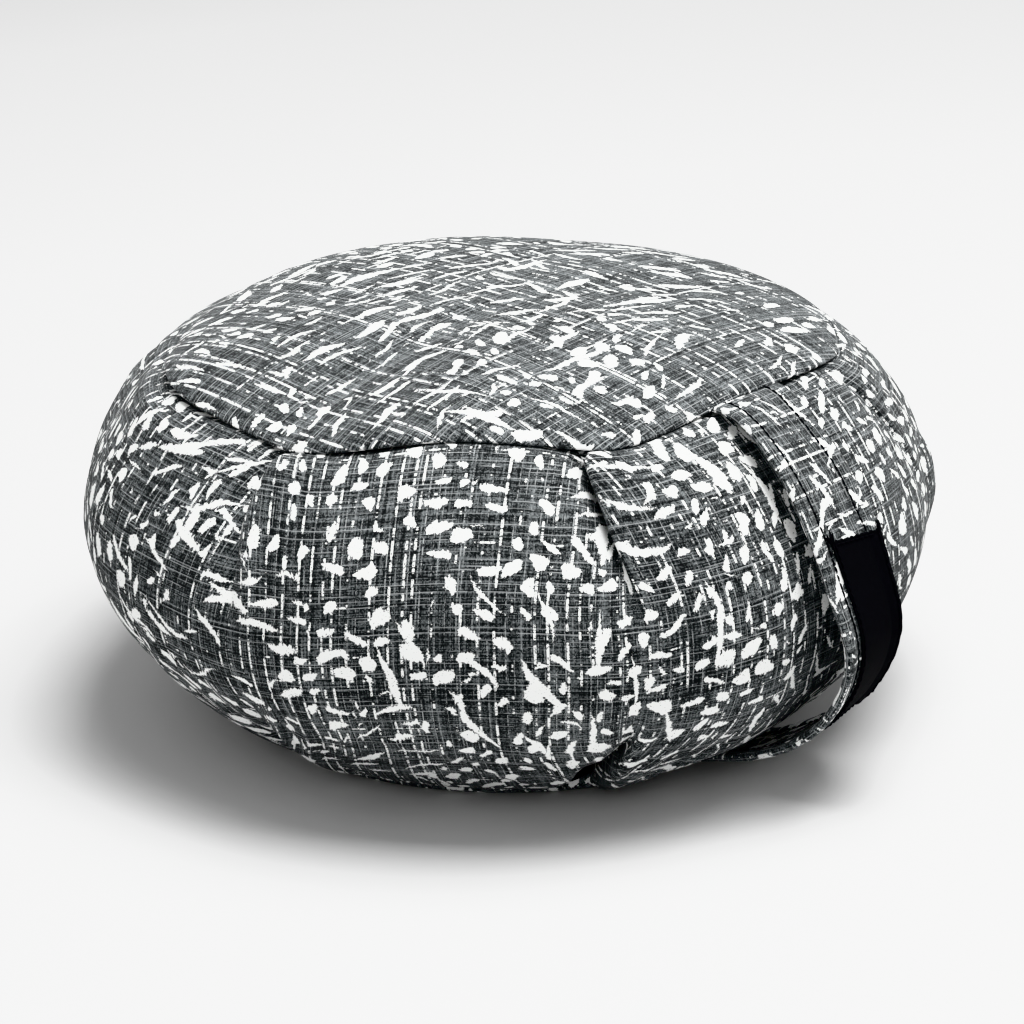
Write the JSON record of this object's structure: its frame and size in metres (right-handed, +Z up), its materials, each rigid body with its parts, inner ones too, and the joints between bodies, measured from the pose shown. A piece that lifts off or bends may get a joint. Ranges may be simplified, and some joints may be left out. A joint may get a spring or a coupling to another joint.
{
  "type": "zafu meditation cushion",
  "caption": "Round zafu meditation cushion with a crowned top, a side band in six tucks, a flat carry handle and a plain label patch.",
  "frame": {"origin": "centre of the flat face that the cushion rests on", "axes": "+Z up through the crown, +X towards the carry handle"},
  "size_m": [0.424, 0.3935, 0.1976],
  "materials": {
    "cover_cloth": null,
    "strap_cloth": "matt slub cotton, topstitched",
    "label_weave": "plain black woven patch"
  },
  "bodies": {
    "root": {"cushion": "cover_cloth", "handle": "strap_cloth", "label": "label_weave"}
  },
  "joints": []
}
